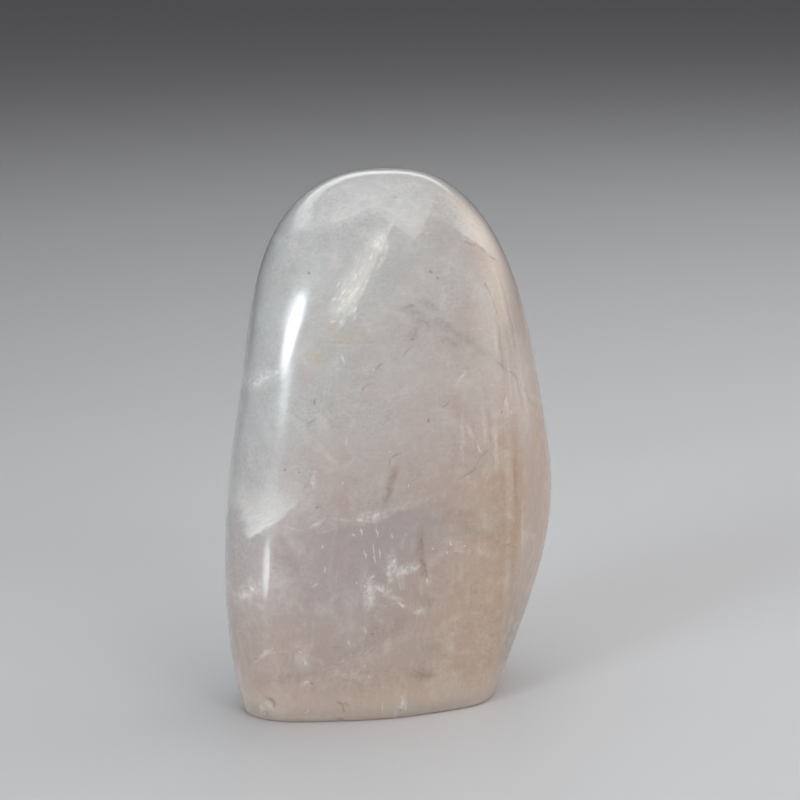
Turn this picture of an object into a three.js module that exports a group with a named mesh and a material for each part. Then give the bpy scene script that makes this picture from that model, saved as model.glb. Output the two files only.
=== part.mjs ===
// A rose quartz freeform: one piece of milky pink quartz, ground into a rounded, slightly flattened
// standing stone and polished all over, with a flat sawn base that it stands on.
// Millimetres, +Z up. The base lies on z = 0, the broad front face looks along -Y, and the origin is
// the middle of the stone's outline on the table.
import * as THREE from "three";

const stoneHeight = 100;

// The stone is ground to a few broad sides. Each one looks in a compass direction (turn, in degrees,
// 0 to the front and 90 to the right), and reach is its distance from the upright middle line, at
// the base and at every levelStep above it. Above domeStart all sides draw in and close the top.
const levelStep = 16;
const sides = {
  front: { turn: 0, reach: [15.9, 17.5, 18, 18, 17.5, 17, 18] },
  frontLeft: { turn: -20, reach: [16.8, 20, 23.5, 25.5, 25.5, 24, 24] },
  leftFront: { turn: -60, reach: [26.5, 30.5, 33, 33.5, 32.5, 30, 29] },
  leftEnd: { turn: -116, reach: [26.5, 29.7, 29.5, 28.5, 25.5, 25.5, 27] },
  backLeft: { turn: -150, reach: [21, 24, 25.5, 25.5, 24.5, 23.5, 23] },
  back: { turn: 180, reach: [14.5, 17, 18, 18, 17.5, 17, 18] },
  backRight: { turn: 140, reach: [21, 25, 28, 28, 27, 25, 24] },
  rightEnd: { turn: 95, reach: [19, 30.5, 37, 33.8, 29.8, 27, 25] },
  rightFront: { turn: 44, reach: [20.4, 23.8, 26.8, 26.3, 24, 21.8, 20.5] },
};
// How tightly neighbouring sides meet: a low number melts them together, a high one leaves a ridge.
const ridgeSharpness = 18;
// How far each level is rounded from flat sides (0) towards a plain oval (1).
const melt = [0.06, 0.15, 0.1, 0.1, 0.15, 0.4, 1];

// The top closes along a full, slightly flattened arch.
const domeStart = 62;
const domeFullness = 2.4;

// The sawn base keeps a narrow rounded edge.
const baseEdgeRadius = 0.8;

// Steps of the mesh. The sectors lie closer together towards the two narrow ends, as the points of
// an oval of these half sizes do.
const sectors = 88;
const halfWidth = 30;
const halfThickness = 18;
const bodySteps = 26;
const domeSteps = 20;
const edgeSteps = 3;

// A smooth curve along the values of one list (a cubic B-spline), read at a height.
function readLevels(values, height) {
  const last = values.length - 1;
  const place = Math.min(Math.max(height / levelStep, 0), last);
  const first = Math.min(Math.floor(place), last - 1);
  const t = place - first;
  const [b, c] = [values[first], values[first + 1]];
  const a = first > 0 ? values[first - 1] : 2 * b - c;
  const d = first + 2 <= last ? values[first + 2] : 2 * c - b;
  const weights = [(1 - t) ** 3, 3 * t ** 3 - 6 * t ** 2 + 4, -3 * t ** 3 + 3 * t ** 2 + 3 * t + 1, t ** 3];
  return (a * weights[0] + b * weights[1] + c * weights[2] + d * weights[3]) / 6;
}

// The stone's radius in one compass direction at one height, before the dome draws it in.
function sideRadius(direction, height) {
  let crowding = 0;
  for (const { turn, reach } of Object.values(sides)) {
    const facing = Math.cos(direction - THREE.MathUtils.degToRad(turn)) / readLevels(reach, height);
    if (facing > 0) crowding += facing ** ridgeSharpness;
  }
  const ground = crowding ** (-1 / ridgeSharpness);
  const [toRight, toFront] = [Math.sin(direction), Math.cos(direction)];
  const ovalWidth = readLevels(toRight > 0 ? sides.rightEnd.reach : sides.leftEnd.reach, height);
  const ovalThickness = readLevels(toFront > 0 ? sides.front.reach : sides.back.reach, height);
  const oval = 1 / Math.hypot(toRight / ovalWidth, toFront / ovalThickness);
  return THREE.MathUtils.lerp(ground, oval, readLevels(melt, height));
}

// How much of its full width the stone still has at a height.
function domeShare(height) {
  const climb = Math.max(0, (height - domeStart) / (stoneHeight - domeStart));
  return (1 - climb ** domeFullness) ** (1 / domeFullness);
}

// One closed level ring of the surface, drawn in by inset.
function ringAt(height, inset = 0) {
  const ring = [];
  for (let i = 0; i < sectors; i += 1) {
    const step = (2 * Math.PI * i) / sectors;
    const direction = Math.atan2(halfWidth * Math.sin(step), halfThickness * Math.cos(step));
    const radius = sideRadius(direction, height) * domeShare(height) - inset;
    ring.push(new THREE.Vector3(radius * Math.sin(direction), -radius * Math.cos(direction), height));
  }
  return ring;
}

// All rings from the flat base to just under the top.
function stoneRings() {
  const rings = [];
  for (let i = 0; i < edgeSteps; i += 1) {
    const a = (Math.PI / 2) * (1 - i / edgeSteps);
    rings.push(ringAt(baseEdgeRadius * (1 - Math.sin(a)), baseEdgeRadius * (1 - Math.cos(a))));
  }
  for (let i = 0; i <= bodySteps; i += 1) {
    rings.push(ringAt(baseEdgeRadius + ((domeStart - baseEdgeRadius) * i) / bodySteps));
  }
  for (let i = 1; i < domeSteps; i += 1) {
    const climb = Math.sin((Math.PI / 2) * (i / domeSteps)) ** (2 / domeFullness);
    rings.push(ringAt(domeStart + (stoneHeight - domeStart) * climb));
  }
  return rings;
}

// The closed surface: rings joined by quads, a fan under the base and a fan over the top.
function stoneGeometry() {
  const rings = stoneRings();
  const points = [...rings.flat(), new THREE.Vector3(0, 0, 0), new THREE.Vector3(0, 0, stoneHeight)];
  const baseMiddle = points.length - 2;
  const crown = points.length - 1;
  const index = [];
  for (let i = 0; i < sectors; i += 1) {
    const next = (i + 1) % sectors;
    for (let ring = 0; ring < rings.length - 1; ring += 1) {
      const [a, b] = [ring * sectors + i, ring * sectors + next];
      index.push(a, b, b + sectors, a, b + sectors, a + sectors);
    }
    const last = (rings.length - 1) * sectors;
    index.push(baseMiddle, next, i);
    index.push(crown, last + i, last + next);
  }
  const geometry = new THREE.BufferGeometry().setFromPoints(points).setIndex(index);
  geometry.computeBoundingBox();
  const middle = geometry.boundingBox.getCenter(new THREE.Vector3());
  geometry.translate(-middle.x, -middle.y, 0);
  geometry.computeVertexNormals();
  return geometry;
}

// Polished milky quartz, pale grey pink.
const roseQuartz = new THREE.MeshStandardMaterial({ color: 0xd9c8c4, roughness: 0.08, metalness: 0 });

const stone = new THREE.Mesh(stoneGeometry(), roseQuartz);
stone.name = "rose_quartz_freeform";

const group = new THREE.Group();
group.add(stone);

export default group;
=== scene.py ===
import bpy
from math import atan2, cos, hypot, pi, radians, sin, tan
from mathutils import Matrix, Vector


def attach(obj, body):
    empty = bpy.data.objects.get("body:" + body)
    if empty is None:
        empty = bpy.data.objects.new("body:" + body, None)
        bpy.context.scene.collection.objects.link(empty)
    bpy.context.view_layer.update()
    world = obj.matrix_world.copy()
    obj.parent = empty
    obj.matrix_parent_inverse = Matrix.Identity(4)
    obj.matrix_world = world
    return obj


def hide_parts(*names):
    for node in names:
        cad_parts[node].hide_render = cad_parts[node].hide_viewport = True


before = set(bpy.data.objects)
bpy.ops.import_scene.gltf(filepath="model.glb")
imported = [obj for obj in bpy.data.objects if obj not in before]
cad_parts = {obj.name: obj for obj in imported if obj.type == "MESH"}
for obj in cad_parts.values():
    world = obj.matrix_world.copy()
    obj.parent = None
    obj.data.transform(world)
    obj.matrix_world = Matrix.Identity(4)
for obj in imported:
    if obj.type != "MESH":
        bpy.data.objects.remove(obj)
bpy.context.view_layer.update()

# A standing polished freeform of milky rose quartz. The stone stands on z = 0 and its broad
# front face looks along -Y. Blender works in metres, the stone's patterns are told in mm.
mm = 0.001


def compass(azimuth, elevation):
    # the way that leads out from the stone, 0 to the front and 90 to the right, elevation above level
    level = cos(radians(elevation))
    return Vector((sin(radians(azimuth)) * level, -cos(radians(azimuth)) * level, sin(radians(elevation))))


studio = {
    "azimuth": -26,
    "elevation": 12,
    "distance": 0.5,
    "aimHeight": 0.0566,
    "aimRight": 0.00195,
    "frameWidth": 0.1486,
    "sensor": 36,
    "room": (0.10, 0.10, 0.105),
    "floorSize": 12,
    "floorColour": (0.55, 0.55, 0.56),
    "floorRoughness": 0.4,
    "lampAim": Vector((0, 0, 0.05)),
}
# every softbox: where it stands, its size, brightness, colour and the beam it gives, in degrees;
# a narrow beam makes it look brightest in the middle and soft at the rim. They all face the stone,
# but the overhead one and the arch, which lie level. An unseen one lights the stone and is not
# mirrored in it, a sheenOnly one is only mirrored.
softboxes = {
    "key": {"place": compass(-66, 22.5) * 0.8 + studio["lampAim"], "size": (0.42, 0.42), "radiance": 14.0,
            "shape": "ELLIPSE", "beam": 30, "colour": (0.84, 0.94, 1.0)},
    "keyTop": {"place": compass(-66, 30) * 0.8 + studio["lampAim"], "size": (0.64, 0.20), "radiance": 7.5,
               "shape": "ELLIPSE", "beam": 46, "colour": (0.84, 0.94, 1.0), "sheenOnly": True},
    "keyFoot": {"place": compass(-54, 6) * 0.8 + studio["lampAim"], "size": (0.34, 0.56), "radiance": 3.2,
                "shape": "ELLIPSE", "beam": 38, "colour": (0.86, 0.95, 1.0)},
    "overhead": {"place": Vector((0.36, 0.04, 0.62)), "size": (1.46, 1.12), "radiance": 1.15, "level": True,
                 "shape": "ELLIPSE", "beam": 180, "colour": (0.97, 0.99, 1.0), "unseen": True},
    # the bright arch that the polished cap mirrors
    "arch": {"place": compass(154, 0) * 0.42 + compass(64, 0) * 0.05 + Vector((0, 0, 0.62)), "level": True,
             "size": (1.42, 1.42), "radiance": 1.15, "shape": "ELLIPSE", "beam": 180,
             "colour": (0.97, 0.99, 1.0), "sheenOnly": True},
    "rightPanel": {"place": compass(98, 20) * 0.9 + studio["lampAim"], "size": (0.80, 0.60),
                   "radiance": 0.9, "shape": "ELLIPSE", "beam": 60, "colour": (1.0, 0.76, 0.54)},
    "fill": {"place": compass(6, 22) * 1.1 + studio["lampAim"], "size": (0.7, 0.7), "radiance": 3.15,
             "shape": "RECTANGLE", "beam": 180, "colour": (1.0, 0.95, 0.90), "unseen": True},
    # the key light's glint off the floor, low on the left end
    "glint": {"place": Vector((-0.0685, -0.0278, 0.0085)), "size": (0.012, 0.018), "radiance": 5.5,
              "shape": "ELLIPSE", "beam": 22, "colour": (0.86, 0.94, 1.0),
              "aim": Vector((-0.030, -0.010, 0.0325))},
}


def makeCamera():
    back = compass(studio["azimuth"], studio["elevation"])
    rightward = compass(studio["azimuth"] + 90, 0)
    aim = Vector((0, 0, studio["aimHeight"])) + rightward * studio["aimRight"]
    data = bpy.data.cameras.new("camera")
    data.sensor_width = studio["sensor"]
    data.lens = studio["sensor"] * studio["distance"] / studio["frameWidth"]
    camera = bpy.data.objects.new("camera", data)
    bpy.context.scene.collection.objects.link(camera)
    camera.location = aim + back * studio["distance"]
    camera.rotation_euler = back.to_track_quat("Z", "Y").to_euler()
    bpy.context.scene.camera = camera


def makeSoftbox(name, box):
    data = bpy.data.lights.new(name, "AREA")
    data.shape = box["shape"]
    data.size, data.size_y = box["size"]
    data.spread = radians(box["beam"])
    half = data.spread / 2
    data.energy = box["radiance"] * box["size"][0] * box["size"][1] * pi * (1 - half / tan(half))
    data.color = box["colour"]
    lamp = bpy.data.objects.new(name, data)
    bpy.context.scene.collection.objects.link(lamp)
    lamp.location = box["place"]
    if not box.get("level"):
        away = box["place"] - box.get("aim", studio["lampAim"])
        lamp.rotation_euler = away.to_track_quat("Z", "Y").to_euler()
    lamp.visible_camera = False
    lamp.visible_glossy = not box.get("unseen")
    lamp.visible_diffuse = not box.get("sheenOnly")


def makeFloor():
    bpy.ops.object.select_all(action="DESELECT")
    bpy.ops.mesh.primitive_plane_add(size=studio["floorSize"])
    floor = bpy.context.object
    floor.name = "floor"
    material = bpy.data.materials.new("floor")
    material.use_nodes = True
    shader = material.node_tree.nodes["Principled BSDF"]
    shader.inputs["Base Color"].default_value = (*studio["floorColour"], 1)
    shader.inputs["Roughness"].default_value = studio["floorRoughness"]
    floor.data.materials.append(material)


def makeStudio():
    scene = bpy.context.scene
    scene.view_settings.view_transform = "Standard"
    world = bpy.data.worlds.new("room")
    world.use_nodes = True
    world.node_tree.nodes["Background"].inputs["Color"].default_value = (*studio["room"], 1)
    scene.world = world
    makeCamera()
    makeFloor()
    for name, box in softboxes.items():
        makeSoftbox(name, box)
    print("studio: camera, floor and", len(softboxes), "softboxes")


stoneShape = {
    "node": "rose_quartz_freeform",
    "mergeWithin": 0.001 * mm,
    "subdivisions": 2,
    "waveSize": 22 * mm,
    "waveDepth": 0.3 * mm,
    "waveMiddle": 0.45,
    "flatFoot": 4.0 * mm,
    "smoothAngle": 32,
    # small shells broken out of the base edge: (x, z) on the front in mm, radius and bite in mm
    "chips": [
        (-27.9, 3.9, 1.6, 0.42), (-28.3, 1.5, 1.2, 0.30), (-15.6, 3.1, 1.4, 0.32), (-16.0, 0.3, 1.0, 0.42),
        (-5.0, 1.2, 0.8, 0.28), (-5.4, 0.1, 0.8, 0.36), (-22.1, 2.6, 0.7, 0.16), (9.4, 0.2, 1.0, 0.30),
        (15.4, 0.3, 0.8, 0.28),
    ],
    "chipDetail": 3,
    # the front is felt for from well before it, and not on the rounded edge of the base
    "feelFrom": -100 * mm,
    "lowestFeel": 0.5 * mm,
}


def finishWith(piece, kind, **settings):
    bpy.ops.object.modifier_add(type=kind)
    modifier = piece.modifiers[-1]
    for name, value in settings.items():
        setattr(modifier, name, value)
    bpy.ops.object.modifier_apply(modifier=modifier.name)


def makeChipCutter(stone):
    bpy.ops.object.select_all(action="DESELECT")
    shells = []
    for x, z, radius, bite in stoneShape["chips"]:
        start = Vector((x * mm, stoneShape["feelFrom"], max(z * mm, stoneShape["lowestFeel"])))
        hit, spot, normal, face = stone.ray_cast(start, (0, 1, 0))
        spot.z = z * mm
        middle = spot + normal * (radius - bite) * mm
        bpy.ops.mesh.primitive_ico_sphere_add(subdivisions=stoneShape["chipDetail"], radius=radius * mm,
                                              location=middle)
        shells.append(bpy.context.object)
    for shell in shells:
        shell.select_set(True)
    bpy.ops.object.join()
    return bpy.context.object


def makeStone():
    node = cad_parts[stoneShape["node"]]
    bpy.ops.object.select_all(action="DESELECT")
    stone = node.copy()
    stone.data = node.data.copy()
    stone.name = "polished_stone"
    bpy.context.scene.collection.objects.link(stone)
    stone.parent = None
    stone.select_set(True)
    bpy.context.view_layer.objects.active = stone
    bpy.ops.object.mode_set(mode="EDIT")
    bpy.ops.mesh.select_all(action="SELECT")
    bpy.ops.mesh.remove_doubles(threshold=stoneShape["mergeWithin"])
    bpy.ops.mesh.tris_convert_to_quads()
    bpy.ops.object.mode_set(mode="OBJECT")
    finishWith(stone, "SUBSURF", levels=stoneShape["subdivisions"], render_levels=stoneShape["subdivisions"])
    # a hand-held polish is never quite even, but the sawn base stays flat
    polished = stone.vertex_groups.new(name="polished")
    for vertex in stone.data.vertices:
        polished.add([vertex.index], min(1, vertex.co.z / stoneShape["flatFoot"]), "REPLACE")
    waves = bpy.data.textures.new("polishWaves", "CLOUDS")
    waves.noise_scale = stoneShape["waveSize"]
    waves.noise_depth = 1
    finishWith(stone, "DISPLACE", texture=waves, texture_coords="LOCAL", vertex_group="polished",
               strength=stoneShape["waveDepth"], mid_level=stoneShape["waveMiddle"])
    cutter = makeChipCutter(stone)
    bpy.ops.object.select_all(action="DESELECT")
    stone.select_set(True)
    bpy.context.view_layer.objects.active = stone
    finishWith(stone, "BOOLEAN", operation="DIFFERENCE", object=cutter)
    bpy.data.objects.remove(cutter)
    bpy.ops.object.shade_smooth_by_angle(angle=radians(stoneShape["smoothAngle"]))
    print("stone:", len(stone.data.polygons), "faces")
    return stone


class Wire:
    # a shader socket that works in plain expressions, each operator adds its Math node
    def __init__(self, tree, socket=None):
        self.tree = tree
        self.socket = socket

    def node(self, kind, settings, sockets, output=0):
        made = self.tree.nodes.new("ShaderNode" + kind)
        for name, value in settings.items():
            setattr(made, name, value)
        for name, value in sockets.items():
            if isinstance(value, Wire):
                self.tree.links.new(value.socket, made.inputs[name])
            else:
                made.inputs[name].default_value = value
        return Wire(self.tree, made.outputs[output])

    def maths(self, operation, *others):
        return self.node("Math", {"operation": operation}, dict(enumerate((self, *others))))

    def vector(self, operation, *others):
        return self.node("VectorMath", {"operation": operation}, dict(enumerate((self, *others))))

    def __add__(self, other):
        return self.maths("ADD", other)

    def __sub__(self, other):
        return self.maths("SUBTRACT", other)

    def __mul__(self, other):
        return self.maths("MULTIPLY", other)

    def __rsub__(self, other):
        return self.node("Math", {"operation": "SUBTRACT"}, {0: other, 1: self})

    __radd__ = __add__
    __rmul__ = __mul__

    def rise(self, low, high):
        # 0 below low and 1 above high, softly in between
        return self.node("MapRange", {"interpolation_type": "SMOOTHSTEP"},
                         {"Value": self, "From Min": low, "From Max": high})

    def fall(self, low, high):
        return 1 - self.rise(low, high)

    def between(self, first, second):
        # the first colour where this is 0 and the second one where it is 1; a Mix node has several
        # sockets of each name, so the ones for colours go by their numbers
        return self.node("Mix", {"data_type": "RGBA"}, {0: self, 6: first, 7: second}, 2)

    def tint(self, colour, share):
        # this colour turned towards another one
        return share.between(self, (*colour, 1))

    def noise(self, size, detail=2.0, roughness=0.5, output="Fac"):
        return self.node("TexNoise", {}, {"Vector": self, "Scale": 1 / size, "Detail": detail,
                                          "Roughness": roughness}, output)

    def sway(self, size, reach):
        # the same place, pushed about by up to half the reach
        push = self.noise(size, 2, 0.5, "Color").vector("SUBTRACT", (0.5, 0.5, 0.5))
        return self.vector("ADD", push.vector("MULTIPLY", (reach, reach, reach)))

    def drawnOut(self, turn, stretch):
        # what is laid on it is drawn out along each way, then turned by degrees
        return self.node("Mapping", {"vector_type": "TEXTURE"},
                         {"Vector": self, "Rotation": tuple(radians(a) for a in turn), "Scale": stretch})

    def cells(self, size, feature, output):
        return self.node("TexVoronoi", {"feature": feature}, {"Vector": self, "Scale": 1 / size}, output)

    def along(self, ends, halfLength, halfWidth):
        # the face seen from the middle of a line on it, in half lengths and half widths of it
        (x1, z1), (x2, z2) = ends
        return self.node("Mapping", {"vector_type": "TEXTURE"}, {
            "Vector": self, "Location": ((x1 + x2) / 2, (z1 + z2) / 2, 0),
            "Rotation": (0, 0, atan2(z2 - z1, x2 - x1)), "Scale": (halfLength, halfWidth, 1)})

    def spindle(self):
        return self.node("TexGradient", {"gradient_type": "SPHERICAL"}, {"Vector": self}, "Fac")

    def strokes(self, lines, width):
        # spindles along every line, 1 on the middle line and 0 at the rim, a little longer than the line
        mask = None
        for line in lines:
            for start, end in zip(line, line[1:]):
                length = hypot(end[0] - start[0], end[1] - start[1])
                reach = length * (0.5 + strokeForm["overlap"]) + width / 2
                one = self.along((start, end), reach, width / 2).spindle()
                mask = one if mask is None else mask.maths("MAXIMUM", one)
        return mask.rise(0, strokeForm["fullFrom"])

    def veilAndReflection(self, ends, spread, streaky, pointed):
        # a sheet in the face, sharp along its edge, fading to the edge's left, with streaks that run along
        # it; most are fracture planes inside the stone, those on the cap are painted reflection and the
        # shade ones painted shade; a pointed one starts at the middle of its edge with a sharp tip
        half = hypot(ends[1][0] - ends[0][0], ends[1][1] - ends[0][1]) / 2
        local = self.along(ends, half, spread)
        across = local.node("SeparateXYZ", {}, {0: local}, "Y")
        streakSpace = (half / veilForm["streakLength"], spread / veilForm["streakWidth"], 1)
        streaks = local.vector("MULTIPLY", streakSpace).noise(1, 3, 0.6).rise(*veilForm["streakContrast"])
        mask = local.spindle().rise(0, veilForm["fade"]) * across.rise(*veilForm["softEdge"])
        if pointed:
            along = local.node("SeparateXYZ", {}, {0: local}, "X")
            tip = along - across * (veilForm["tipLean"] * spread / half)
            mask = mask * tip.rise(*veilForm["softTip"])
        return mask * (streaks * streaky + (1 - streaky))


quartz = {
    # linear colours of the milky body, of what lies in it and of its painted glow
    "cool": (0.56, 0.56, 0.55),
    "body": (0.55, 0.472, 0.435),
    "warm": (0.56, 0.428, 0.335),
    "crown": (0.45, 0.452, 0.45),
    "amber": (0.46, 0.305, 0.195),
    "umber": (0.30, 0.185, 0.11),
    "ember": (0.62, 0.35, 0.19),
    "white": (0.98, 0.97, 0.94),
    "paintedGlow": (1.0, 0.70, 0.56),
    "shade": (0.42, 0.362, 0.365),
    "smoke": (0.35, 0.335, 0.325),
    "rust": (0.34, 0.25, 0.19),
    "honey": (0.56, 0.47, 0.27),
    "rose": (0.50, 0.37, 0.36),
    "dark": (0.20, 0.15, 0.14),
    # finish: roughness of the milky body and of the polish on it, refraction, how much the body shines
    # by itself, how deep light scatters and how far each colour gets, and what passes through
    "haze": 0.25,
    "polish": 0.08,
    "ior": 1.544,
    "bodySheen": 0.3,
    "depth": 26 * mm,
    "scatter": (1.0, 0.85, 0.8),
    "seeThrough": 0.15,
}
# broad tones of the body. Warmth is what each mm to the right and up, the clouds in it and the back
# add; the others are shares from 0 to 1
bodyTones = {
    "warmthToRight": 1 / 95,
    "warmthUpward": -1 / 105,
    "warmthClouds": 0.5,
    "cloudSize": 13,
    "warmthAtFoot": 0.62,
    "warmthAtBack": 0.3,
    "crown": 0.85,
    "dullLowLeft": 0.34,
    "warmFootLeft": 0.14,
    "amberPastRidge": 0.42,
    "amberAtEnd": 0.34,
    "amberAtBack": 0.25,
    "amberInFront": 0.6,
    "umberFootRight": 0.75,
    "paintedGlowAtEnd": 0.26,
}
# patterns all through the stone: sizes and spacings in mm, shares from 0 to 1
patterns = {
    "wobbleSize": 1.6,
    "wobble": 1.1,
    "patchSize": 5.5,
    "patchMilk": 0.14,
    "patchRose": 0.26,
    "mottleSize": 1.8,
    "mottleMilk": 0.08,
    "mottleDark": 0.09,
    "grainSize": 0.6,
    "grainLeast": 0.05,
    "grainMore": 0.14,
    "lighterBand": 0.08,
    "silkStretch": (0.9, 0.9, 10),
    "silkMilk": 0.08,
    "weaveStretch": (5, 0.5, 0.5),
    "weaveMilk": 0.09,
    "weaveDark": 0.07,
    "crackSpacing": 13,
    "crackMilk": 0.22,
    "crackDark": 0.2,
    "splinterStretch": (1.3, 1.3, 3.2),
    "splinterMilk": 0.35,
    "dustSpacing": 2.2,
    "dustMilk": 0.3,
    "paintedFootGlow": 0.5,
    "paintedEdgeGlow": 0.9,
}
# every mark and veil lies near the front, which reaches further back on the left, by this much for
# each mm of x; this share of it is still seen at the back
markDepth = {
    "lean": 0.15,
    "atBack": 0.2,
}
# every mark: how far its strokes reach past their lines, in lengths of them, how far in from its rim
# a stroke is full, and the size in mm of what it crumbles into
strokeForm = {
    "overlap": 0.1,
    "fullFrom": 0.85,
    "crumbSize": 0.8,
}
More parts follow.
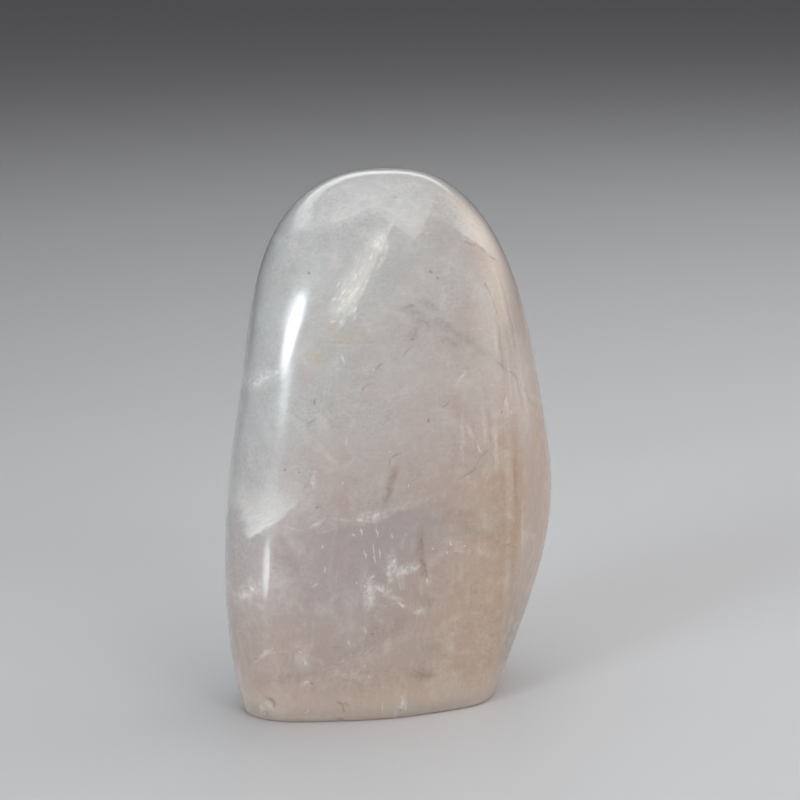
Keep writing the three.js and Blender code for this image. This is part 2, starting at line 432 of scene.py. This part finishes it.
# marks in the front face: their colour, width in mm, strength, how far they crumble from even (0)
# to broken up (1), and lines through points (x, z) in mm
frontMarks = {
    "smoke": ("smoke", 2.8, 0.46, 0.6, [
        [(-5.0, 76.8), (-1.0, 75.2)], [(-3.4, 75.0), (1.0, 73.0)], [(-1.6, 77.8), (1.8, 76.2)],
        [(0.6, 74.4), (5.0, 72.2)], [(4.2, 72.4), (8.8, 69.2)], [(2.4, 70.6), (6.4, 69.4)],
        [(8.6, 69.2), (13.2, 66.2)], [(13.0, 66.0), (16.4, 64.0)], [(21.0, 60.0), (24.4, 55.6)],
        [(6.0, 36.2), (9.4, 34.4)], [(8.8, 35.4), (12.4, 32.6)], [(-2.4, 38.2), (1.8, 36.8)],
        [(-28.6, 33.6), (-26.6, 31.8)], [(-2.0, 13.2), (1.8, 13.8)], [(-4.0, 71.6), (-2.4, 73.2)],
    ]),
    "rust": ("rust", 2.6, 0.58, 0.4, [
        [(-7.3, 48.4), (-8.4, 45.0)], [(-8.2, 45.6), (-9.5, 42.2)], [(-2.5, 35.6), (-2.5, 31.0)],
        [(-2.4, 31.6), (-1.6, 27.4)], [(-2.6, 8.4), (0.6, 8.0)],
    ]),
    "murk": ("rust", 4.2, 0.40, 0.7, [
        [(-3.4, 9.0), (1.2, 7.8)], [(-12.0, 17.0), (-8.8, 18.8)], [(-9.2, 17.0), (-5.6, 19.6)],
        [(-2.2, 25.0), (-0.4, 20.2)], [(2.6, 38.4), (7.6, 37.6)], [(-28.6, 8.6), (-21.4, 9.8)],
    ]),
    "honey": ("honey", 3.6, 0.38, 0.7, [
        [(-19.6, 75.8), (-16.8, 72.6)], [(-18.4, 73.0), (-14.0, 72.6)], [(-22.4, 69.4), (-21.4, 68.8)],
        [(-15.4, 79.4), (-12.6, 83.4)],
    ]),
    "stain": ("honey", 0.6, 0.55, 0.3, [
        [(-20.4, 71.8), (-15.0, 71.6), (-9.6, 71.2)],
    ]),
    "rose": ("rose", 4.0, 0.40, 0.4, [
        [(9.6, 86.0), (13.8, 83.4)], [(17.4, 54.8), (19.6, 52.0)], [(-19.4, 43.8), (-17.4, 42.2)],
        [(4.6, 60.0), (6.4, 55.0)],
    ]),
    "peach": ("ember", 3.4, 0.40, 0.3, [
        [(25.4, 28.8), (28.6, 25.8)], [(25.6, 23.4), (28.8, 20.4)], [(27.4, 34.0), (29.6, 31.0)],
        [(21.8, 20.6), (25.4, 19.0)],
    ]),
    "pale": ("white", 13.0, 0.26, 0.2, [
        [(13.0, 80.0), (15.0, 60.0)], [(17.0, 86.0), (18.5, 66.0)], [(19.0, 72.0), (21.5, 52.0)],
    ]),
    "fibres": ("white", 1.3, 0.22, 0.5, [
        [(15.8, 82.0), (18.6, 66.0)], [(17.6, 80.0), (21.6, 62.0)], [(16.2, 70.0), (17.2, 56.0)],
        [(19.6, 66.0), (23.0, 52.0)], [(13.4, 74.0), (13.8, 66.0)], [(10.2, 60.0), (10.8, 50.0)],
        [(13.0, 56.0), (13.2, 44.0)], [(6.2, 58.0), (6.0, 48.0)], [(19.4, 40.0), (20.0, 28.0)],
    ]),
    "furrows": ("umber", 1.2, 0.26, 0.5, [
        [(16.8, 82.0), (20.2, 66.0)], [(18.4, 64.0), (21.2, 54.0)], [(14.6, 72.0), (15.2, 62.0)],
        [(11.6, 58.0), (12.0, 48.0)], [(17.6, 50.0), (17.8, 36.0)], [(23.4, 48.0), (24.0, 34.0)],
    ]),
    # a painted highlight along the right ridge
    "ridge": ("white", 3.0, 0.13, 0.3, [
        [(16.2, 62.0), (15.9, 46.0)], [(15.9, 50.0), (16.2, 32.0)], [(16.2, 34.0), (16.2, 12.0)],
    ]),
    "clouds": ("white", 3.6, 0.40, 0.8, [
        [(-16.6, 78.8), (-12.8, 83.4)], [(-17.6, 76.6), (-13.0, 81.0)], [(-9.4, 87.4), (-7.6, 89.4)],
        [(-12.4, 27.6), (-12.3, 22.8)], [(-8.3, 32.0), (-8.1, 27.4)], [(-11.6, 26.2), (-8.4, 25.2)],
        [(-7.4, 28.6), (-3.6, 29.4)], [(-32.8, 24.0), (-31.2, 28.4)], [(-31.2, 63.6), (-29.0, 66.4)],
        [(-5.2, 3.2), (-5.0, 0.8)], [(-15.0, 39.4), (-10.0, 39.8)],
    ]),
    "haze": ("white", 3.0, 0.14, 0.6, [
        [(-24.2, 13.6), (-22.6, 11.2)], [(-16.6, 26.4), (-16.0, 20.6)], [(-22.8, 8.2), (-21.8, 8.8)],
        [(-25.6, 41.8), (-23.0, 44.2)], [(-22.0, 59.0), (-20.8, 56.8)], [(-29.0, 31.0), (-27.6, 27.0)],
        [(-18.6, 77.0), (-15.4, 79.6)], [(-24.0, 89.6), (-21.6, 87.4)], [(2.0, 33.8), (6.6, 31.6)],
        [(9.6, 31.4), (12.0, 29.6)], [(5.6, 46.0), (9.0, 43.6)], [(-3.0, 21.2), (-1.0, 20.6)],
    ]),
    "wisps": ("white", 1.3, 0.36, 0.6, [
        [(-8.8, 27.4), (-8.6, 31.6)], [(-7.6, 31.6), (-7.4, 28.6)], [(-12.7, 27.6), (-12.4, 25.0)],
        [(-12.5, 25.2), (-12.0, 22.7)], [(-8.6, 24.2), (-5.8, 23.4)], [(-11.4, 26.4), (-9.8, 26.0)],
        [(-7.0, 28.2), (-5.0, 29.2)], [(-3.9, 28.7), (-2.5, 29.8)], [(-6.8, 23.0), (-5.3, 22.1)],
        [(-3.2, 20.7), (-1.6, 20.8)], [(-14.8, 39.2), (-13.6, 39.4)], [(-12.2, 39.6), (-11.0, 40.1)],
        [(-23.4, 38.9), (-21.2, 40.0)], [(-32.8, 24.0), (-32.0, 26.4)],
        [(-18.2, 76.9), (-15.0, 79.4)], [(-14.9, 76.4), (-13.9, 78.6)],
        [(-9.0, 87.9), (-6.6, 90.2), (-4.9, 92.4)], [(-9.4, 84.0), (-8.0, 86.0), (-7.0, 88.6)],
        [(-31.3, 63.4), (-28.9, 66.6)], [(7.0, 54.8), (8.2, 52.0)], [(5.6, 63.0), (6.8, 64.4)],
        [(15.6, 59.0), (15.9, 56.4)], [(-23.2, 48.4), (-23.0, 46.0)], [(-17.8, 73.6), (-15.6, 76.8)],
        [(-4.8, 5.2), (-4.8, 2.6)], [(-29.7, 13.4), (-28.7, 14.7)], [(-15.6, 78.0), (-13.0, 82.0)],
    ]),
    # white flakes, painted bright partly as the glints they throw
    "flakes": ("white", 0.6, 0.55, 0.4, [
        [(-30.6, 64.2), (-30.1, 64.7)], [(-29.8, 65.2), (-29.3, 65.7)], [(-28.4, 66.4), (-27.9, 66.8)],
        [(-17.4, 75.0), (-16.9, 75.9)], [(-15.1, 80.2), (-14.5, 80.7)], [(-10.4, 85.6), (-10.0, 86.4)],
        [(-18.0, 79.0), (-17.4, 79.4)], [(-16.5, 78.4), (-16.0, 79.0)], [(-15.5, 76.4), (-14.9, 77.0)],
        [(-14.8, 75.4), (-14.2, 76.2)], [(-18.7, 75.2), (-18.2, 75.6)], [(-17.0, 81.4), (-16.5, 82.0)],
        [(-7.8, 30.9), (-7.4, 31.4)], [(-5.6, 29.2), (-5.1, 29.6)], [(-4.2, 29.4), (-3.6, 29.0)],
        [(-8.6, 27.0), (-8.1, 27.6)], [(-12.6, 25.0), (-12.3, 25.9)], [(-10.2, 25.6), (-9.6, 25.2)],
        [(-15.9, 36.9), (-15.3, 36.5)], [(-14.3, 37.9), (-14.1, 36.7)], [(-11.2, 37.5), (-10.9, 35.9)],
        [(-9.2, 87.7), (-8.3, 88.5)], [(-16.9, 79.1), (-16.4, 79.6)], [(-16.5, 80.0), (-15.6, 80.7)],
        [(-13.8, 80.9), (-13.2, 81.1)], [(-14.5, 76.7), (-13.9, 77.8)], [(-13.9, 82.5), (-13.4, 83.3)],
        [(-11.6, 81.7), (-11.1, 82.3)], [(-22.5, 27.4), (-22.0, 28.0)], [(-12.1, 28.1), (-11.6, 28.9)],
        [(-6.6, 22.7), (-5.6, 22.2)], [(-2.9, 20.8), (-2.5, 20.7)], [(-12.9, 19.0), (-12.7, 17.6)],
        [(-5.1, 1.6), (-5.0, 0.8)], [(16.6, 56.1), (17.1, 55.7)], [(-23.3, 12.7), (-22.9, 11.8)],
        [(-16.0, 0.9), (-15.8, 0.3)], [(-28.5, 2.9), (-28.0, 1.4)], [(-32.0, 26.1), (-31.9, 26.7)],
        [(-1.1, 27.0), (-0.9, 25.9)], [(-22.7, 8.2), (-22.3, 8.3)],
    ]),
    "needles": ("white", 0.4, 0.55, 0.2, [
        [(-13.5, 33.8), (-13.2, 31.8)], [(-11.9, 34.9), (-11.9, 32.4)], [(-11.9, 32.8), (-11.3, 30.8)],
        [(-10.6, 33.8), (-10.4, 31.7)], [(-20.9, 31.1), (-20.7, 30.0)], [(-21.3, 35.4), (-21.3, 34.6)],
        [(-17.3, 69.8), (-17.0, 67.5)], [(-16.8, 54.6), (-16.7, 53.4)], [(-15.9, 16.7), (-15.6, 15.5)],
        [(-24.3, 14.7), (-23.6, 14.4)], [(9.0, 51.4), (9.9, 49.1)], [(-8.9, 3.8), (-8.9, 1.4)],
        [(-8.1, 36.2), (-7.9, 35.2)], [(3.4, 33.4), (3.9, 32.8)],
    ]),
    "seams": ("white", 0.7, 0.18, 1.0, [
        [(-31.4, 10.8), (-28.7, 14.1), (-25.8, 15.0)], [(-20.2, 10.6), (-15.8, 12.9), (-9.8, 15.0)],
        [(-9.4, 22.6), (-7.0, 22.8)], [(-20.8, 40.2), (-15.6, 39.3)], [(-10.4, 40.2), (-4.0, 41.5)],
        [(-3.6, 41.4), (1.0, 42.4)], [(10.4, 62.0), (16.2, 60.6)], [(-28.2, 39.1), (-25.0, 38.3)],
        [(2.0, 31.6), (9.4, 31.0), (12.0, 29.6)], [(-24.2, 37.0), (-19.0, 38.4)],
        [(-7.2, 31.2), (-4.8, 37.2)],
    ]),
    # tiny white specks, painted bright partly as glints
    "sparks": ("white", 0.38, 0.70, 0.3, [
        [(-22.9, 48.7), (-22.8, 49.0)], [(-13.4, 26.9), (-13.3, 26.6)], [(-15.4, 13.6), (-15.3, 13.3)],
        [(-17.7, 46.7), (-17.7, 46.3)], [(-8.7, 51.4), (-8.4, 51.4)], [(-0.1, 32.4), (0.0, 32.2)],
        [(2.9, 31.5), (3.1, 31.2)], [(17.4, 53.5), (17.6, 53.3)], [(-14.8, 27.7), (-14.7, 27.5)],
        [(-4.8, 44.9), (-4.8, 44.5)], [(6.6, 32.3), (6.6, 32.1)], [(-30.8, 74.0), (-30.7, 73.8)],
    ]),
    "pits": ("dark", 0.6, 0.50, 0.0, [
        [(-21.2, 83.5), (-21.0, 83.5)], [(-3.8, 71.2), (-3.6, 71.2)], [(-0.8, 56.0), (-0.7, 56.8)],
        [(-25.8, 48.9), (-25.6, 48.9)], [(-27.7, 49.5), (-27.7, 49.3)], [(14.2, 56.2), (14.4, 56.3)],
        [(-22.7, 42.2), (-22.5, 42.5)], [(12.3, 79.8), (12.6, 79.6)], [(-11.6, 17.4), (-11.4, 17.4)],
        [(-21.7, 8.0), (-21.5, 7.8)], [(-22.4, 2.6), (-22.2, 2.4)], [(-16.6, 4.1), (-16.2, 3.8)],
        [(-15.7, 2.5), (-15.3, 2.3)], [(-28.0, 4.9), (-27.2, 3.8)], [(0.6, 82.9), (1.2, 82.7)],
        [(2.0, 81.7), (2.2, 81.5)], [(-22.5, 62.1), (-22.5, 60.9)],
    ]),
    # shade and shine of the small chips along the base edge
    "chipShade": ("dark", 0.9, 0.60, 0.2, [
        [(-28.3, 5.0), (-27.4, 4.4), (-27.2, 3.0)], [(-16.8, 4.2), (-15.9, 3.4), (-15.6, 2.2)],
        [(-5.8, 2.0), (-4.9, 1.4)],
    ]),
    "chipShine": ("white", 0.8, 0.75, 0.3, [
        [(-28.9, 3.2), (-28.5, 1.2)], [(-15.9, 0.9), (-15.7, 0.3)], [(-5.2, 4.4), (-5.1, 1.6)],
        [(-4.4, 3.2), (-4.4, 1.2)], [(-6.4, 1.6), (-6.3, 0.4)],
    ]),
    "cracks": ("dark", 0.6, 0.42, 0.6, [
        [(-6.0, 68.2), (-3.6, 70.1)], [(-11.0, 66.6), (-9.4, 67.7)], [(-14.1, 62.6), (-12.8, 64.0)],
        [(-24.2, 57.5), (-22.2, 58.5)], [(-24.9, 45.9), (-24.2, 46.8)], [(2.0, 58.2), (3.6, 59.5)],
        [(12.5, 79.9), (13.9, 77.0)], [(13.9, 77.2), (14.9, 73.0)], [(14.8, 72.4), (14.2, 67.4)],
        [(13.5, 65.5), (16.0, 63.8)], [(16.4, 63.6), (19.6, 61.4)], [(8.3, 87.7), (12.4, 86.1)],
        [(12.2, 86.2), (14.4, 84.6), (17.0, 83.1)], [(17.2, 45.8), (17.4, 42.4)],
        [(21.6, 59.5), (22.6, 57.2)], [(22.6, 57.4), (26.0, 54.0)], [(5.0, 44.6), (8.4, 46.2)],
        [(8.4, 46.0), (9.6, 48.2), (11.4, 49.6)], [(-8.6, 48.8), (-8.3, 50.2), (-6.4, 50.8)],
        [(-4.4, 95.7), (-2.4, 95.8)], [(-2.2, 37.4), (-1.9, 30.5)], [(-2.0, 30.8), (-0.8, 26.6)],
        [(-6.0, 76.8), (-2.0, 77.4)], [(14.6, 31.6), (17.6, 30.2)],
    ]),
}
# every veil: streaks in mm and where they set in, how far its rim fades in, how soft its edge is and
# how a pointed one leans from its tip
veilForm = {
    "streakLength": 4,
    "streakWidth": 0.45,
    "streakContrast": (0.35, 0.68),
    "fade": 0.8,
    "softEdge": (-0.03, 0.04),
    "softTip": (-0.02, 0.10),
    "tipLean": 0.62,
}
# veils in the front face, with painted shade and painted reflection laid the same way: edge from end to end
# (x, z) in mm, how far it fades out to the left of it, its colour, its strength, how streaky it is and
# whether it is pointed
frontVeilsAndReflections = {
    # the four cap veils are painted reflection: a lighter cap with crisp edges where the polished top
    # mirrors the bright arch overhead
    "capArchReflection": [((-22.0, 89.6), (0.0, 97.2)), 6.0, "white", 0.12, 0.2, False],
    "capTipReflection": [((-9.6, 95.0), (1.0, 86.4)), 7.0, "white", 0.16, 0.0, False],
    "capSideReflection": [((-4.6, 85.4), (4.8, 95.4)), 6.0, "white", 0.16, 0.0, False],
    "capLobeReflection": [((4.6, 91.4), (19.4, 82.0)), 7.5, "white", 0.38, 0.3, False],
    "feather": [((-16.6, 73.4), (-3.4, 95.0)), 5.2, "white", 0.38, 0.6, False],
    "featherFoot": [((-18.4, 73.4), (-9.4, 85.6)), 5.0, "white", 0.32, 0.8, False],
    "featherShade": [((-1.6, 94.0), (-15.6, 74.4)), 9.0, "crown", 0.30, 0.2, False],
    "wedge": [((-43.8, 24.3), (-21.8, 47.3)), 10.5, "white", 0.60, 0.35, True],
    "wedgeTip": [((-37.4, 30.4), (-28.2, 41.2)), 2.2, "white", 0.45, 0.5, True],
    "shelf": [((-13.8, 38.4), (0.6, 41.6)), 2.6, "white", 0.12, 0.7, False],
    "shelfShade": [((10.0, 42.6), (-36.0, 36.2)), 22.0, "shade", 0.5, 0.15, False],
    "low": [((-3.0, 17.6), (-21.0, 10.2)), 4.5, "white", 0.08, 0.6, False],
    "lowShade": [((-24.0, 9.0), (2.0, 20.0)), 7.0, "shade", 0.2, 0.2, False],
}


def bodyColour(place, x, z, toFront):
    # the stone grows warmer towards its foot and its right end, and clearer towards its top; the
    # bounds of each rise and fall in x, y and z are mm in the stone
    warmth = x * bodyTones["warmthToRight"] + z * bodyTones["warmthUpward"]
    warmth = warmth + place.noise(bodyTones["cloudSize"], 3, 0.55) * bodyTones["warmthClouds"]
    warmth = warmth + bodyTones["warmthAtFoot"] + (1 - toFront) * bodyTones["warmthAtBack"]
    colour = warmth.rise(-0.1, 0.38).between((*quartz["cool"], 1), (*quartz["body"], 1))
    colour = colour.tint(quartz["warm"], warmth.rise(0.35, 0.75))
    # the top is also painted a darker grey, as shade against the strong light from overhead
    colour = colour.tint(quartz["crown"], z.rise(74, 104) * bodyTones["crown"])
    # low on the left it is duller, with a little warmth at the very end
    lowLeft = x.fall(-8, 10) * z.fall(36, 46) * z.rise(2, 14)
    colour = colour.tint(quartz["shade"], lowLeft * bodyTones["dullLowLeft"])
    colour = colour.tint(quartz["ember"], x.fall(-29, -18) * z.fall(14, 34) * bodyTones["warmFootLeft"])
    # past the right ridge it is deeper, darkest low down, and the end has a painted glow of light coming
    # through
    deeper = x.rise(10, 17.5) * bodyTones["amberPastRidge"] + x.rise(19, 27) * bodyTones["amberAtEnd"]
    depth = toFront * bodyTones["amberInFront"] + bodyTones["amberAtBack"]
    colour = colour.tint(quartz["amber"], deeper * z.fall(46, 84) * depth)
    lowRight = x.rise(14, 19) * z.rise(2, 8) * z.fall(10, 30) * toFront
    colour = colour.tint(quartz["umber"], lowRight * bodyTones["umberFootRight"])
    paintedEndGlow = x.rise(24, 34) * z.fall(26, 60) * toFront
    return colour.tint(quartz["ember"], paintedEndGlow * bodyTones["paintedGlowAtEnd"])


def addClouds(colour, place, grain, x, z):
    patches = place.noise(patterns["patchSize"], 5, 0.66)
    colour = colour.tint(quartz["white"], patches.rise(0.5, 0.75) * patterns["patchMilk"])
    colour = colour.tint(quartz["rose"], patches.fall(0.28, 0.5) * patterns["patchRose"])
    mottle = place.sway(3, 2).noise(patterns["mottleSize"], 4, 0.7)
    colour = colour.tint(quartz["white"], mottle.rise(0.5, 0.7) * patterns["mottleMilk"])
    colour = colour.tint(quartz["dark"], mottle.fall(0.3, 0.48) * patterns["mottleDark"])
    coarse = place.noise(8, 2).rise(0.38, 0.62) * patterns["grainMore"] + patterns["grainLeast"]
    colour = colour.tint(quartz["dark"], grain.fall(0.3, 0.55) * coarse)
    # a lighter band half way up, which leaves out the left end
    band = z.rise(44, 58) * z.fall(78, 90) * x.rise(-20, -8)
    return colour.tint(quartz["white"], band * patterns["lighterBand"])


def addVeilsAndReflections(colour, face, nearFront):
    for ends, spread, kind, strength, streaky, pointed in frontVeilsAndReflections.values():
        veilAndReflection = face.veilAndReflection(ends, spread, streaky, pointed)
        colour = colour.tint(quartz[kind], veilAndReflection * nearFront * strength)
    return colour


def addFibres(colour, place, z):
    # thin sheets of dust seen nearly edge on: upright low down, level higher up
    silk = place.sway(9, 4).drawnOut((0, 4, 0), patterns["silkStretch"]).noise(1, 3, 0.6)
    colour = colour.tint(quartz["white"], silk.rise(0.5, 0.75) * z.fall(30, 60) * patterns["silkMilk"])
    weave = place.sway(9, 3).drawnOut((0, -3, 0), patterns["weaveStretch"]).noise(1, 3, 0.6)
    colour = colour.tint(quartz["white"], weave.rise(0.5, 0.75) * z.rise(40, 64) * patterns["weaveMilk"])
    return colour.tint(quartz["dark"], weave.fall(0.24, 0.42) * patterns["weaveDark"])


def addHealedCracks(colour, place, grain):
    # thin planes all through the stone that come and go
    spacing = patterns["crackSpacing"]
    planes = place.sway(6, 6).cells(spacing, "DISTANCE_TO_EDGE", "Distance") * spacing
    shows = place.noise(7, 2).rise(0.5, 0.62)
    colour = colour.tint(quartz["white"], planes.fall(0.05, 1.1) * shows * grain * patterns["crackMilk"])
    core = planes.fall(0.03, 0.3) * shows * grain.rise(0.5, 0.62)
    return colour.tint(quartz["dark"], core * patterns["crackDark"])


def addMarks(colour, place, face, nearFront):
    crumbs = place.noise(strokeForm["crumbSize"], 4, 0.7).rise(0.4, 0.62)
    for kind, width, strength, crumble, lines in frontMarks.values():
        mask = face.strokes(lines, width) * nearFront
        colour = colour.tint(quartz[kind], mask * (crumbs * crumble + (1 - crumble)) * strength)
    return colour


def addDust(colour, place):
    # a few splinters and specks of dust in loose swarms
    upright = place.drawnOut((0, 6, 0), patterns["splinterStretch"])
    chosen = upright.cells(1, "F1", "Color").rise(0.66, 0.72)
    splinters = upright.cells(1, "F1", "Distance").fall(0.04, 0.15) * chosen
    swarm = place.noise(8, 2).rise(0.52, 0.66)
    colour = colour.tint(quartz["white"], splinters * swarm * patterns["splinterMilk"])
    dust = place.cells(patterns["dustSpacing"], "F1", "Distance") * patterns["dustSpacing"]
    swarm = place.noise(6, 2).rise(0.52, 0.62)
    return colour.tint(quartz["white"], dust.fall(0.04, 0.14) * swarm * patterns["dustMilk"])


def stoneColour(place):
    wobbly = place.sway(patterns["wobbleSize"], patterns["wobble"])
    x, y, z = (wobbly.node("SeparateXYZ", {}, {0: wobbly}, axis) for axis in "XYZ")
    face = place.node("CombineXYZ", {}, {0: x, 1: z})
    nearFront = (y + x * markDepth["lean"]).fall(-3, 7)
    nearFront = nearFront * (1 - markDepth["atBack"]) + markDepth["atBack"]
    grain = place.noise(patterns["grainSize"], 3, 0.7)
    colour = bodyColour(place, x, z, y.fall(-4, 14))
    colour = addClouds(colour, place, grain, x, z)
    colour = addVeilsAndReflections(colour, face, nearFront)
    colour = addFibres(colour, place, z)
    colour = addHealedCracks(colour, place, grain)
    colour = addMarks(colour, place, face, nearFront)
    colour = addDust(colour, place)
    # painted glow: the foot and the sawn edge are painted lighter and warmer, standing in for light that
    # gathers there
    colour = colour.tint(quartz["paintedGlow"], z.fall(-1, 9) * patterns["paintedFootGlow"])
    return colour.tint(quartz["paintedGlow"], z.fall(0.2, 2.0) * patterns["paintedEdgeGlow"])


def quartzMaterial():
    material = bpy.data.materials.new("rose_quartz")
    material.use_nodes = True
    tree = material.node_tree
    shader = tree.nodes["Principled BSDF"]
    raw = Wire(tree).node("TexCoord", {}, {}, "Object")
    colour = stoneColour(raw.vector("MULTIPLY", (1 / mm, 1 / mm, 1 / mm)))
    tree.links.new(colour.socket, shader.inputs["Base Color"])
    plain = {
        "Roughness": quartz["haze"],
        "IOR": quartz["ior"],
        "Specular IOR Level": quartz["bodySheen"],
        "Subsurface Weight": 1,
        "Subsurface Radius": quartz["scatter"],
        "Subsurface Scale": quartz["depth"],
        "Transmission Weight": quartz["seeThrough"],
        "Coat Weight": 1,
        "Coat Roughness": quartz["polish"],
        "Coat IOR": quartz["ior"],
    }
    for name, value in plain.items():
        shader.inputs[name].default_value = value
    print("quartz:", len(tree.nodes), "nodes")
    return material


makeStudio()
stone = makeStone()
stone.data.materials.clear()
stone.data.materials.append(quartzMaterial())
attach(stone, "root")
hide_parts(stoneShape["node"])
